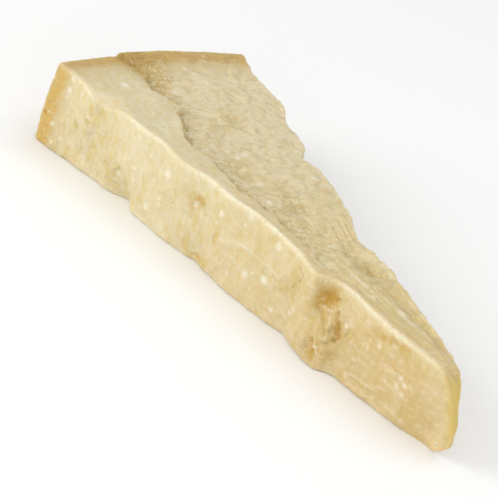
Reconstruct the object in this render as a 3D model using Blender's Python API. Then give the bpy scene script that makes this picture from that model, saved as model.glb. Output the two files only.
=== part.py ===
"""A chunk of aged hard cheese: a flat slice of one sector of a wheel, rind at its wide end.

Lengths are in millimetres until the finished mesh is scaled to metres. +X runs from the
rind to the blunt tip, the cleaner of the two long sides faces -Y, and the chunk lies on Z = 0.
"""
import math

import bmesh
import bpy
import numpy as np
from mathutils import Vector, noise

MM = 0.001

# The wheel, and the share of it that the chunk is
WHEEL_RADIUS = 211.8
SECTOR_ANGLE = math.radians(22.5)
WHEEL_CENTRE_X = 107.6
# Both cuts miss the wheel's centre by this much, which leaves the tip blunt
CUT_MISS = 1.6
RIND_HEIGHT = 33.2
TIP_HEIGHT = 30.2
RIND_BULGE = 1.2
# Share of the length over which the rind's bulge fades out
BULGE_REACH = 0.25

# How far the blunt tip stops short of the wheel's centre: it leans out towards its foot
TIP_GAP_TOP = 9.6
TIP_GAP_FOOT = -1.4
# How far the tip bulges at half its height
TIP_BULGE = 0.5

# Roundings of the block's edges
RIDGE_ROUND = 1.0
BACK_ROUND = 1.6
FOOT_ROUND = 1.6
RIND_ROUND = 1.3
TIP_ROUND = 5.5
TIP_TOP_ROUND = 8.0
TIP_FOOT_ROUND = 12.0
# Most of the block's width or height that one rounding may take
MOST_ROUND = 0.49

# Divisions of the block's surface along its length, across it and up it
DIVISIONS = (80, 22, 8)
# How much closer the lines lie near the block's edges than in its middle, from 0 to 1
CROWDING = (0.1, 0.55, 0.5)

# Where a long edge swells out (+) or is chipped back (-) of the sector's flat side:
# place along X, reach towards the rind, reach towards the tip, size
FRONT_RIDGE = (
    (-78.0, 8.0, 3.5, 1.6), (-66.0, 4.0, 6.0, -1.0), (-43.0, 6.0, 5.0, -0.7),
    (-32.5, 6.0, 6.0, 1.2), (-19.0, 5.0, 8.0, -1.1), (6.0, 9.0, 13.0, -1.7),
    (37.5, 8.0, 3.5, 3.4), (50.0, 9.0, 9.0, -2.2), (71.0, 4.0, 18.0, 0.6),
)
FRONT_FOOT = (
    (-70.0, 13.0, 8.0, -2.2), (-54.5, 7.0, 5.0, -2.8), (-15.5, 6.0, 4.0, -1.8),
    (7.0, 11.0, 14.0, 1.4), (30.5, 3.0, 4.0, -1.0), (49.0, 12.0, 3.6, 5.4),
    (99.0, 8.0, 10.0, -3.0),
)
BACK_TOP = (
    (-87.0, 6.0, 5.0, -0.8), (-65.5, 9.0, 6.5, 3.2), (-50.5, 5.0, 4.0, -1.2),
    (-30.0, 5.0, 6.0, -4.2), (1.0, 4.0, 4.0, -0.9), (20.5, 10.0, 8.0, -5.0),
    (33.0, 5.0, 4.0, -1.4), (78.0, 22.0, 13.0, 0.7),
)
BACK_FOOT = (
    (-80.0, 10.0, 8.0, 1.2), (-47.0, 12.0, 5.0, -2.6), (-12.0, 9.0, 12.0, -3.4),
    (28.0, 12.0, 7.0, -3.2), (58.0, 9.0, 9.0, 1.2), (98.0, 9.0, 6.0, 2.0),
)
# Where the front ridge is worn down, or stands up (-): place along X, reach each way, drop
RIDGE_WEAR = ((-71.0, 8.0, 6.0, 2.8), (6.0, 14.0, 18.0, -0.8))
RIDGE_WEAR_WIDTH = 3.2

# Hollows (+) and raised lenses (-) of the two long sides:
# place along X, height, reach along X, reach up, depth
FRONT_HOLLOWS = (
    (43.2, 23.9, 3.4, 4.0, 2.2), (51.2, 15.8, 2.2, 4.6, 1.0), (46.6, 4.8, 4.6, 3.4, 1.9),
    (-54.0, 0.0, 5.0, 5.0, 3.0), (-74.0, 16.5, 8.0, 5.0, 0.7), (-61.0, 7.0, 5.0, 5.0, 0.8),
    (-20.5, 20.8, 4.5, 2.6, 0.6), (-9.0, 14.5, 1.8, 4.0, 0.6), (-15.0, 3.0, 6.0, 3.0, 0.9),
    (30.5, 20.6, 2.4, 4.0, 0.6), (62.0, 12.0, 6.0, 4.5, 0.5), (75.0, 25.6, 9.0, 2.0, 0.5),
)
BACK_HOLLOWS = (
    (-86.0, 22.0, 6.0, 4.0, 1.2), (-68.0, 11.0, 9.0, 5.0, 2.2), (-50.0, 24.0, 6.0, 3.5, -1.4),
    (-36.0, 17.0, 8.0, 5.0, 2.6), (-20.0, 6.0, 7.0, 4.0, -1.6), (-6.0, 13.0, 9.0, 4.5, 2.2),
    (8.0, 23.0, 6.0, 4.0, 1.2), (24.0, 14.0, 7.0, 6.0, 2.4), (42.0, 20.0, 6.0, 4.0, -1.2),
    (54.0, 9.0, 9.0, 5.0, 1.6),
)

# The smooth shelf beside the front ridge: its width at places along X, and the drop beyond it
SHELF_EDGE = (
    (-104.0, 25.0), (-99.6, 27.4), (-94.0, 31.0), (-89.0, 30.4), (-84.0, 26.5), (-77.0, 24.5),
    (-72.0, 27.0), (-66.0, 25.5), (-61.5, 22.6), (-55.4, 19.1), (-50.2, 15.2), (-45.2, 11.8),
    (-38.7, 11.2), (-33.3, 12.8), (-28.0, 11.4), (-21.0, 9.0), (-11.6, 7.5), (-5.1, 8.4),
    (0.0, 7.2), (7.5, 7.1), (19.6, 5.6), (28.5, 5.4), (44.0, 3.0),
)
SHELF_DROP = (
    (-104.0, 0.5), (-92.0, 1.6), (-70.0, 2.6), (-20.0, 2.3), (5.0, 1.7), (16.0, 1.0), (28.0, 0.3),
)
SHELF_EDGE_WIDTH = 2.2
DROP_FADE = 20.0
DROP_LEFT = 0.1
# The top is level with the rind's edge and is at its full depth this far from it
RIND_CALM = 6.0

# Hollows (+) and raised flakes (-) of the top: place along X and Y, reach along X and Y, depth
TOP_HOLLOWS = (
    (-90.0, -10.0, 9.0, 4.5, 1.6), (-74.0, -4.0, 8.0, 6.0, 0.9), (-47.0, 5.0, 6.0, 8.0, 1.1),
    (-25.0, -7.0, 7.0, 4.0, 1.0), (1.0, 1.0, 6.0, 4.0, 1.0), (37.0, 5.0, 8.0, 4.5, 1.7),
    (68.0, 4.6, 18.0, 1.8, 0.9), (-70.0, 18.0, 8.0, 7.0, -0.8), (-12.0, 9.0, 8.0, 5.0, -0.7),
    (-68.0, -17.0, 5.0, 4.0, -0.7),
)

# The front part of the rind stands back from the rest, up to a step at this place along Y
RIND_STEP_Y = -12.0
RIND_STEP_RUN = 4.0
RIND_STEP_TOP = 2.3
RIND_STEP_FOOT = 1.0

# Unevenness left by cracking the cheese: height of the waves, their length, and a seed
TOP_CRAGS = (1.1, 9.0, 5.0)
FRONT_CRAGS = (0.35, 16.0, 3.0)
BACK_CRAGS = (1.3, 11.0, 7.0)
RIND_CRAGS = (0.25, 18.0, 9.0)
FOOT_CRAGS = (0.7, 7.0, 17.0)
# Share of the back's waves that is gone at its top edge
BACK_EDGE_CALM = 0.7
# Each layer of waves is finer than the last one by a factor, and lower by that factor
# raised to the evenness
CRAG_LAYERS = 3
CRAG_FINER = 2.1
CRAG_EVENNESS = 0.7

# How fast a long side's relief fades out towards the other side, as a power of the share left
SIDE_FADE = 3
# Share of the length over which the rind's relief fades out
RIND_REACH = 0.1
# Share of the height at which the top's relief starts
TOP_START = 1.0 / 3.0

LENGTH, WIDTH, HEIGHT = range(3)
LOW, HIGH = range(2)
HALF_ANGLE = SECTOR_ANGLE / 2.0
TINY = 1e-6


def hump(t, before, after):
    """A smooth hill of height 1 at t = 0 that may fall off faster on one side."""
    return np.exp(-((t / np.where(t < 0.0, before, after)) ** 2))


def ease(t):
    """Goes smoothly from 0 to 1 as t does."""
    t = np.clip(t, 0.0, 1.0)
    return t * t * (3.0 - 2.0 * t)


def edge_offset(x, swells):
    """Distance that a long edge stands out of the sector's flat side."""
    return sum(size * hump(x - at, before, after) for at, before, after, size in swells)


def hollow_depth(a, b, hollows):
    """Depth of a face's hollows at the face's own coordinates a and b."""
    return sum(
        depth * hump(a - at_a, reach_a, reach_a) * hump(b - at_b, reach_b, reach_b)
        for at_a, at_b, reach_a, reach_b, depth in hollows
    )


def crags(points, shape):
    """Uneven relief with broken, flake-like slopes, between about -height and +height."""
    height, wavelength, seed = shape
    shift = Vector((seed, 2.0 * seed, 3.0 * seed))
    return height * np.array([
        noise.fractal(Vector(p) / wavelength + shift, CRAG_EVENNESS, CRAG_FINER, CRAG_LAYERS)
        for p in points
    ])


def crowd(t, amount):
    """Moves evenly spaced places between 0 and 1 towards both ends."""
    return t - amount * np.sin(2.0 * math.pi * t) / (2.0 * math.pi)


def round_edge(a, b, radius):
    """Bends two faces that meet at an edge onto a quarter round.

    a and b are the depths of points below the two faces. Inner layers follow the outer one.
    """
    layer = np.minimum(a, b)
    room = np.maximum(radius - layer, 0.0)
    reach = np.maximum(a, b) - layer
    turn = np.clip(1.0 - reach / np.maximum(room, TINY), 0.0, 1.0) * math.pi / 4.0
    along = layer + room * (1.0 - np.sin(turn))
    below = layer + room * (1.0 - np.cos(turn))
    near = reach < room
    on_a = a <= b
    new_a = np.where(near, np.where(on_a, below, along), a)
    new_b = np.where(near, np.where(on_a, along, below), b)
    return new_a, new_b


ROUNDED_EDGES = (
    (WIDTH, LOW, HEIGHT, HIGH, RIDGE_ROUND),
    (WIDTH, HIGH, HEIGHT, HIGH, BACK_ROUND),
    (WIDTH, LOW, HEIGHT, LOW, FOOT_ROUND),
    (WIDTH, HIGH, HEIGHT, LOW, FOOT_ROUND),
    (LENGTH, LOW, HEIGHT, HIGH, RIND_ROUND),
    (LENGTH, LOW, HEIGHT, LOW, FOOT_ROUND),
    (LENGTH, HIGH, HEIGHT, HIGH, TIP_TOP_ROUND),
    (LENGTH, HIGH, HEIGHT, LOW, TIP_FOOT_ROUND),
    (LENGTH, LOW, WIDTH, LOW, RIND_ROUND),
    (LENGTH, LOW, WIDTH, HIGH, RIND_ROUND),
    (LENGTH, HIGH, WIDTH, LOW, TIP_ROUND),
    (LENGTH, HIGH, WIDTH, HIGH, TIP_ROUND),
)


def block_sizes(share):
    """Length, width and height of the block where each point is, from its shares of them."""
    up = share[:, HEIGHT]
    tip_gap = TIP_GAP_FOOT + (TIP_GAP_TOP - TIP_GAP_FOOT) * up - TIP_BULGE * 4.0 * up * (1.0 - up)
    length = WHEEL_RADIUS - tip_gap
    radius = WHEEL_RADIUS - length * share[:, LENGTH]
    width = 2.0 * (radius * math.sin(HALF_ANGLE) + CUT_MISS)
    height = RIND_HEIGHT + (TIP_HEIGHT - RIND_HEIGHT) * share[:, LENGTH]
    return np.stack([length, width, height], axis=1)


def rounded(share):
    """Shares of the block's length, width and height after its edges are rounded."""
    size = block_sizes(share)
    place = share * size
    for axis_a, side_a, axis_b, side_b, radius in ROUNDED_EDGES:
        depth_a = place[:, axis_a] if side_a == LOW else size[:, axis_a] - place[:, axis_a]
        depth_b = place[:, axis_b] if side_b == LOW else size[:, axis_b] - place[:, axis_b]
        fit = np.minimum(radius, MOST_ROUND * np.minimum(size[:, axis_a], size[:, axis_b]))
        depth_a, depth_b = round_edge(depth_a, depth_b, fit)
        place[:, axis_a] = depth_a if side_a == LOW else size[:, axis_a] - depth_a
        place[:, axis_b] = depth_b if side_b == LOW else size[:, axis_b] - depth_b
    return place / size


def sector_place(share):
    """Puts shares of the block into the flat-sided sector, whose rind is an arc of the wheel."""
    size = block_sizes(share)
    swell = RIND_BULGE * (1.0 - (2.0 * share[:, HEIGHT] - 1.0) ** 2)
    near_rind = ease(1.0 - share[:, LENGTH] / BULGE_REACH)
    radius = WHEEL_RADIUS - size[:, LENGTH] * share[:, LENGTH] + swell * near_rind
    y = (share[:, WIDTH] - 0.5) * size[:, WIDTH]
    arc = WHEEL_RADIUS - np.sqrt(WHEEL_RADIUS ** 2 - y ** 2)
    x = WHEEL_CENTRE_X - radius + arc * (1.0 - share[:, LENGTH])
    return np.stack([x, y, share[:, HEIGHT] * size[:, HEIGHT]], axis=1)


def top_depth(place):
    """How far the top lies below its flat height: a smooth shelf, then cracked cheese."""
    x, y, _ = place.T
    inward = y * math.cos(HALF_ANGLE) + (WHEEL_CENTRE_X - x) * math.sin(HALF_ANGLE) + CUT_MISS
    beyond = inward - np.interp(x, *zip(*SHELF_EDGE))
    cracked = ease(beyond / SHELF_EDGE_WIDTH)
    left = DROP_LEFT + (1.0 - DROP_LEFT) * np.exp(-np.maximum(beyond, 0.0) / DROP_FADE)
    drop = np.interp(x, *zip(*SHELF_DROP)) * left + np.abs(crags(place, TOP_CRAGS))
    drop *= ease((WHEEL_RADIUS - np.hypot(WHEEL_CENTRE_X - x, y)) / RIND_CALM)
    worn = edge_offset(x, RIDGE_WEAR) * np.exp(-((inward / RIDGE_WEAR_WIDTH) ** 2))
    return drop * cracked + worn + hollow_depth(x, y, TOP_HOLLOWS)


def with_relief(place, share):
    """Adds each face's swells, hollows and crags, which fade out inside the block."""
    x, y, z = place.T
    up = share[:, HEIGHT]
    near_front = (1.0 - share[:, WIDTH]) ** SIDE_FADE
    near_back = share[:, WIDTH] ** SIDE_FADE
    near_rind = ease(1.0 - share[:, LENGTH] / RIND_REACH)
    near_top = ease((up - TOP_START) / (1.0 - TOP_START))
    rise = ease(up)

    front = edge_offset(x, FRONT_FOOT) * (1.0 - rise) + edge_offset(x, FRONT_RIDGE) * rise
    front += crags(place, FRONT_CRAGS) + crags(place, FOOT_CRAGS) * (1.0 - rise) ** SIDE_FADE
    front -= hollow_depth(x, z, FRONT_HOLLOWS)
    back = edge_offset(x, BACK_FOOT) * (1.0 - rise) + edge_offset(x, BACK_TOP) * rise
    back += crags(place, BACK_CRAGS) * (1.0 - BACK_EDGE_CALM * rise ** SIDE_FADE)
    back -= hollow_depth(x, z, BACK_HOLLOWS)
    rind = crags(place, RIND_CRAGS)
    step = RIND_STEP_FOOT + (RIND_STEP_TOP - RIND_STEP_FOOT) * up
    rind -= step * ease((RIND_STEP_Y - y) / RIND_STEP_RUN)

    outward_x = front * near_front + back * near_back
    outward_y = back * near_back - front * near_front
    moved = place.copy()
    moved[:, 0] += outward_x * math.sin(HALF_ANGLE) - rind * near_rind
    moved[:, 1] += outward_y * math.cos(HALF_ANGLE)
    moved[:, 2] -= top_depth(place) * near_top
    return moved


def gridded_block():
    """A unit cube whose six faces are divided into a grid."""
    block = bmesh.new()
    bmesh.ops.create_cube(block, size=1.0)
    for axis, divisions in enumerate(DIVISIONS):
        across = [
            edge for edge in block.edges
            if edge.verts[0].co[axis] * edge.verts[1].co[axis] < 0.0
        ]
        bmesh.ops.subdivide_edges(block, edges=across, cuts=divisions - 1, use_grid_fill=True)
    return block


def cheese_material():
    """Pale, slightly waxy cheese."""
    material = bpy.data.materials.new("aged_cheese")
    material.use_nodes = True
    shader = material.node_tree.nodes["Principled BSDF"]
    shader.inputs["Base Color"].default_value = (0.79, 0.64, 0.38, 1.0)
    shader.inputs["Roughness"].default_value = 0.55
    shader.inputs["Metallic"].default_value = 0.0
    return material


def make_chunk(collection):
    """The whole chunk, rind and paste in one solid."""
    block = gridded_block()
    share = np.array([vert.co for vert in block.verts]) + 0.5
    for axis, amount in enumerate(CROWDING):
        share[:, axis] = crowd(share[:, axis], amount)
    share = rounded(share)
    place = with_relief(sector_place(share), share) * MM
    for vert, co in zip(block.verts, place):
        vert.co = co
    bmesh.ops.triangulate(block, faces=block.faces)
    mesh = bpy.data.meshes.new("cheese_chunk")
    block.to_mesh(mesh)
    block.free()
    mesh.shade_smooth()
    mesh.materials.append(cheese_material())
    collection.objects.link(bpy.data.objects.new("cheese_chunk", mesh))


def main():
    for leftover in list(bpy.data.objects):
        bpy.data.objects.remove(leftover)
    collection = bpy.data.collections.new("parmesan_chunk")
    bpy.context.scene.collection.children.link(collection)
    make_chunk(collection)


main()
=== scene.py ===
"""The parmesan chunk dressed for its photograph: one finely divided piece replaces the CAD solid.

Lengths are in millimetres until a finished mesh is scaled to metres. +X runs from the rind to
the blunt tip, the cleaner of the two long sides faces -Y, and the chunk lies on Z = 0.
"""
import math

import bmesh
import bpy
import numpy as np
from mathutils import Matrix, Vector, noise

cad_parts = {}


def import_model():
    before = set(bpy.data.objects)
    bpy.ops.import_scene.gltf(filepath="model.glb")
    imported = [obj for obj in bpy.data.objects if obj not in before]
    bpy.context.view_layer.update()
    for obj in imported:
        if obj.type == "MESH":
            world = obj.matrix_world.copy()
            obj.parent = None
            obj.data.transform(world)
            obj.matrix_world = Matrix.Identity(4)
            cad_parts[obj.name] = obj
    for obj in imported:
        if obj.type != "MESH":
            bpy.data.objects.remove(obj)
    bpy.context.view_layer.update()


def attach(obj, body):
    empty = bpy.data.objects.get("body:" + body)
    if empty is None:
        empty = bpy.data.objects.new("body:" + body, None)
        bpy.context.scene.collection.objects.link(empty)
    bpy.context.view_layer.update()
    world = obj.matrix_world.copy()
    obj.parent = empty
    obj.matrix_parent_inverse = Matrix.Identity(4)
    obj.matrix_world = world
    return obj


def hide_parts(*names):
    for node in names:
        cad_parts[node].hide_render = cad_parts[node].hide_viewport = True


MM = 0.001

# The sector of the wheel, as in the CAD source
WHEEL_RADIUS = 211.8
SECTOR_ANGLE = math.radians(22.5)
WHEEL_CENTRE_X = 107.6
CUT_MISS = 1.6
RIND_HEIGHT = 33.2
TIP_HEIGHT = 30.2
RIND_BULGE = 1.2
BULGE_REACH = 0.25
TIP_GAP_TOP = 9.6
TIP_GAP_FOOT = -1.4
TIP_BULGE = 0.5

# Roundings of the block's edges
RIDGE_ROUND = 1.0
BACK_ROUND = 1.6
FOOT_ROUND = 1.6
RIND_ROUND = 1.3
TIP_ROUND = 5.5
TIP_TOP_ROUND = 8.0
TIP_FOOT_ROUND = 12.0
MOST_ROUND = 0.49

# Divisions of the surface along its length, across it and up it, and how closely the lines
# crowd towards the edges, from 0 to 1
DIVISIONS = (350, 106, 54)
CROWDING = (0.04, 0.25, 0.2)

# Swells (+) and chips (-) of the long edges: place along X, reach each way along X, size
FRONT_RIDGE = (
    (-78.0, 8.0, 3.5, 1.6), (-66.0, 4.0, 6.0, -1.0), (-43.0, 6.0, 5.0, -0.7),
    (-32.5, 6.0, 6.0, 1.2), (-19.0, 5.0, 8.0, -1.1), (6.0, 9.0, 13.0, -1.7),
    (37.5, 8.0, 3.5, 3.4), (50.0, 9.0, 9.0, -2.2), (71.0, 4.0, 18.0, 0.6),
)
FRONT_FOOT = (
    (-70.0, 13.0, 8.0, -2.2), (-54.5, 7.0, 5.0, -2.8), (-15.5, 6.0, 4.0, -1.8),
    (7.0, 11.0, 14.0, 1.4), (30.5, 3.0, 4.0, -1.0), (49.0, 12.0, 3.6, 5.4),
    (99.0, 8.0, 10.0, -3.0),
)
BACK_TOP = (
    (-87.0, 6.0, 5.0, -0.8), (-65.5, 9.0, 6.5, 3.2), (-50.5, 5.0, 4.0, -1.2),
    (-30.0, 5.0, 6.0, -4.2), (1.0, 4.0, 4.0, -0.9), (20.5, 10.0, 8.0, -5.0),
    (33.0, 5.0, 4.0, -1.4), (78.0, 22.0, 13.0, 0.7),
)
BACK_FOOT = (
    (-80.0, 10.0, 8.0, 1.2), (-47.0, 12.0, 5.0, -2.6), (-12.0, 9.0, 12.0, -3.4),
    (28.0, 12.0, 7.0, -3.2), (58.0, 9.0, 9.0, 1.2), (98.0, 9.0, 6.0, -3.6),
)
RIDGE_WEAR = ((-71.0, 8.0, 6.0, 2.8), (6.0, 14.0, 18.0, -0.8))
RIDGE_WEAR_WIDTH = 3.2

# Hollows (+) and raised lenses (-) of the long sides: X, Z, reach along X, reach up, depth
FRONT_HOLLOWS = (
    (43.2, 23.9, 3.4, 4.0, 2.2), (51.2, 15.8, 2.2, 4.6, 1.0), (46.6, 4.8, 4.6, 3.4, 1.9),
    (-54.0, 0.0, 5.0, 5.0, 3.0), (-74.0, 16.5, 8.0, 5.0, 0.7), (-61.0, 7.0, 5.0, 5.0, 0.8),
    (-20.5, 20.8, 4.5, 2.6, 0.6), (-9.0, 14.5, 1.8, 4.0, 0.6), (-15.0, 3.0, 6.0, 3.0, 0.9),
    (30.5, 20.6, 2.4, 4.0, 0.6), (62.0, 12.0, 6.0, 4.5, 0.5), (75.0, 25.6, 9.0, 2.0, 0.5),
)
BACK_HOLLOWS = (
    (-86.0, 22.0, 6.0, 4.0, 1.2), (-68.0, 11.0, 9.0, 5.0, 2.2), (-50.0, 24.0, 6.0, 3.5, -1.4),
    (-36.0, 17.0, 8.0, 5.0, 2.6), (-20.0, 6.0, 7.0, 4.0, -1.6), (-6.0, 13.0, 9.0, 4.5, 2.2),
    (8.0, 23.0, 6.0, 4.0, 1.2), (24.0, 14.0, 7.0, 6.0, 2.4), (42.0, 20.0, 6.0, 4.0, -1.2),
    (54.0, 9.0, 9.0, 5.0, 1.6), (99.0, 14.0, 8.0, 5.5, -2.2),
)

# The smooth shelf beside the front ridge: its width at places along X, and the drop beyond it
SHELF_EDGE = (
    (-104.0, 25.0), (-99.6, 27.4), (-94.0, 31.0), (-89.0, 30.4), (-84.0, 26.5), (-77.0, 24.5),
    (-72.0, 27.0), (-66.0, 25.5), (-61.5, 22.6), (-55.4, 19.1), (-50.2, 15.2), (-45.2, 11.8),
    (-38.7, 11.2), (-33.3, 12.8), (-28.0, 11.4), (-21.0, 9.0), (-11.6, 7.5), (-5.1, 8.4),
    (0.0, 7.2), (7.5, 7.1), (19.6, 5.6), (28.5, 5.4), (44.0, 3.0),
)
SHELF_DROP = (
    (-104.0, 0.5), (-92.0, 1.6), (-70.0, 2.6), (-20.0, 2.3), (5.0, 1.7), (16.0, 1.0), (28.0, 0.3),
)
SHELF_EDGE_WIDTH = 1.2
# How far the shelf's edge wanders from that line in this piece, and the length of its wiggles
RIM_WANDER = 1.1
RIM_WIGGLE = 4.0
DROP_FADE = 20.0
DROP_LEFT = 0.1
# The top is level with the rind's edge and is at its full depth this far from it
RIND_CALM = 6.0

# Hollows (+) and raised flakes (-) of the top: X, Y, reach along X, reach along Y, depth
TOP_HOLLOWS = (
    (-90.0, -10.0, 9.0, 4.5, 1.6), (-74.0, -4.0, 8.0, 6.0, 0.9), (-47.0, 5.0, 6.0, 8.0, 1.1),
    (-25.0, -7.0, 7.0, 4.0, 1.0), (1.0, 1.0, 6.0, 4.0, 1.0), (37.0, 5.0, 8.0, 4.5, 1.7),
    (68.0, 4.6, 18.0, 1.8, 0.9), (-70.0, 18.0, 8.0, 7.0, -0.8), (-12.0, 9.0, 8.0, 5.0, -0.7),
    (-68.0, -17.0, 5.0, 4.0, -0.7),
)

RIND_STEP_Y = -12.0
RIND_STEP_RUN = 4.0
RIND_STEP_TOP = 2.3
RIND_STEP_FOOT = 1.0

# Broad unevenness, as in the CAD source: height of the waves, their length, and a seed
TOP_CRAGS = (1.1, 9.0, 5.0)
FRONT_CRAGS = (0.35, 16.0, 3.0)
BACK_CRAGS = (1.3, 11.0, 7.0)
RIND_CRAGS = (0.25, 18.0, 9.0)
FOOT_CRAGS = (0.7, 7.0, 17.0)
BACK_EDGE_CALM = 0.7
CRAG_LAYERS = 3
CRAG_FINER = 2.1
CRAG_EVENNESS = 0.7
SIDE_FADE = 3
RIND_REACH = 0.1
TOP_START = 1.0 / 3.0

# Flakes that only this piece has: height of their facets, size of a facet, and a seed
COARSE_FLAKES = (0.5, 3.4, 11.0)
FINE_FLAKES = (0.2, 1.3, 13.0)
# How far the facets' outlines wander, and how fine that wandering is and how it starts
FLAKE_WANDER = 0.35
FLAKE_WANDER_SIZE = 0.6
FLAKE_SEED = 7
FLAKE_TILT = 1.6
# A facet's centre is divided by this, so that each facet gets a tilt and a height of its own
CENTRE_UNIT = 1e-6
# How much of the flakes each kind of surface has
SHELF_ROUGHNESS = 0.10
CUT_ROUGHNESS = 0.24
RIND_ROUGHNESS = 0.12
CRACKED_ROUGHNESS = 0.14
BACK_ROUGHNESS = 0.8
MOST_ROUGHNESS = 1.4
# How much the broken back looks like the cracked top
BACK_CRACKED = 0.6
# The cracked top is roughest along the shelf's edge, between two places along X
BAND_ROUGHNESS = 0.8
BAND_WIDTH = 9.0
BAND_SPAN = (-80.0, 36.0)
# Flakes and marks are at full height this far above the floor
FLOOR_CLEARANCE = 2.0
# The relief dies down over this distance towards an edge of the block
CALM_EDGE = 5.0

# Rough patches of the two visible faces: place on the face, reach both ways, strength
ROUGH_FRONT = (
    (-76.0, 15.0, 9.0, 7.0, 0.6), (-60.0, 8.0, 8.0, 6.0, 0.7), (-20.0, 20.0, 7.0, 5.0, 0.5),
    (-14.0, 4.0, 9.0, 5.0, 0.6), (43.0, 23.0, 4.5, 5.0, 0.7), (50.0, 14.0, 5.0, 6.0, 0.9),
    (45.0, 4.0, 6.0, 5.0, 1.0), (62.0, 11.0, 9.0, 7.0, 0.5), (26.0, 17.0, 9.0, 6.0, 0.45),
)
CRUMBLED_TOP = (
    (-88.0, -12.0, 12.0, 6.0, 1.2), (-99.0, -10.0, 5.0, 12.0, 0.9), (37.0, 6.0, 9.0, 4.0, 0.5),
    (-2.0, 0.0, 9.0, 6.0, 0.4),
)
# Where the colours and fine relief are crumbly as well: past this roughness, and here on the top
CRUMBLY_FROM = 0.25
CRUMBLY_FRONT = 0.15
CRUMBLY_TOP = ((-99.0, -9.0, 8.0, 12.0, 1.0), (-86.0, -3.0, 8.0, 6.0, 0.6))

# Brown, open-textured places: place on the face, reach both ways, strength
BROWN_FRONT = (
    (42.7, 24.0, 3.5, 3.9, 0.75), (43.6, 22.6, 2.6, 2.4, 0.25), (51.2, 15.8, 2.0, 3.6, 0.3),
    (46.8, 5.0, 4.8, 3.6, 0.5), (46.0, 16.0, 1.6, 2.4, 0.15), (-20.6, 22.4, 3.8, 2.0, 0.6),
    (-22.0, 17.6, 4.5, 2.4, 0.2), (-8.8, 14.5, 1.8, 3.8, 0.4), (61.0, 21.8, 4.5, 1.6, 0.35),
    (68.0, 25.2, 5.0, 1.7, 0.4), (75.0, 26.8, 5.0, 1.7, 0.4), (82.0, 28.4, 4.0, 1.3, 0.35),
    (77.0, 19.0, 6.0, 1.6, 0.35), (58.0, 14.6, 2.4, 1.1, 0.35), (-15.5, 2.2, 6.0, 1.8, 0.4),
    (31.0, 22.5, 2.2, 3.4, 0.25), (-98.7, 12.3, 0.7, 0.7, 2.0),
)
BROWN_TOP = (
    (-99.0, -13.0, 6.0, 6.0, 0.6), (-99.5, -1.0, 5.0, 10.0, 0.4), (-101.0, -24.0, 3.0, 8.0, 0.3),
    (-92.5, -11.0, 4.0, 4.0, 0.5), (-88.0, -4.0, 6.0, 5.0, 0.3), (-82.5, -8.0, 4.0, 3.0, 0.3),
    (-77.0, -7.0, 5.0, 3.0, 0.2),
    (-67.5, -9.0, 4.0, 2.0, 0.35), (-60.0, 9.5, 4.0, 2.2, 0.3), (-57.0, -11.0, 4.0, 2.0, 0.3),
    (-1.7, 4.0, 3.0, 2.5, 0.2), (-27.0, -9.5, 6.0, 2.4, 0.25), (11.0, -4.0, 4.0, 2.4, 0.3),
    (37.0, 5.8, 9.0, 4.0, 0.22), (45.0, 7.5, 4.0, 2.0, 0.15),
    (33.0, -2.0, 7.0, 1.6, 0.25), (60.0, 3.0, 16.0, 1.2, 0.2),
)
# Amber, mottled places: place on the face, reach both ways, strength
AMBER_FRONT = (
    (-74.0, 17.0, 11.0, 8.0, 0.6), (-61.0, 7.0, 10.0, 6.0, 0.75), (-75.0, 29.0, 4.0, 3.0, 0.8),
    (-90.0, 4.0, 8.0, 3.0, 0.4), (-21.0, 18.0, 8.0, 5.0, 0.6), (-9.0, 14.0, 3.0, 6.0, 0.6),
    (-16.0, 3.0, 8.0, 4.0, 0.9), (-44.0, 8.0, 5.0, 5.0, 0.3), (14.0, 16.0, 10.0, 4.0, 0.5),
    (30.0, 20.0, 6.0, 8.0, 0.6), (44.0, 23.0, 5.0, 6.0, 1.2), (49.0, 10.0, 7.0, 9.0, 0.9),
    (62.0, 17.0, 10.0, 3.0, 0.6), (76.0, 25.5, 12.0, 2.6, 0.8), (66.0, 8.0, 14.0, 6.0, 0.4),
    (88.0, 10.0, 8.0, 9.0, 0.4),
)
AMBER_TOP = (
    (-92.0, -8.0, 12.0, 12.0, 1.0), (-70.0, -12.0, 8.0, 5.0, 0.6), (-55.0, 3.0, 8.0, 10.0, 0.5),
    (-30.0, -6.0, 12.0, 6.0, 0.8), (-8.0, 0.0, 12.0, 6.0, 0.8), (12.0, -2.0, 8.0, 5.0, 0.7),
    (37.0, 5.0, 12.0, 5.0, 1.0), (66.0, 4.0, 22.0, 3.0, 0.8), (-60.0, 10.0, 8.0, 5.0, 0.6),
    (-69.0, -17.0, 5.0, 3.0, -1.0),
)

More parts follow.
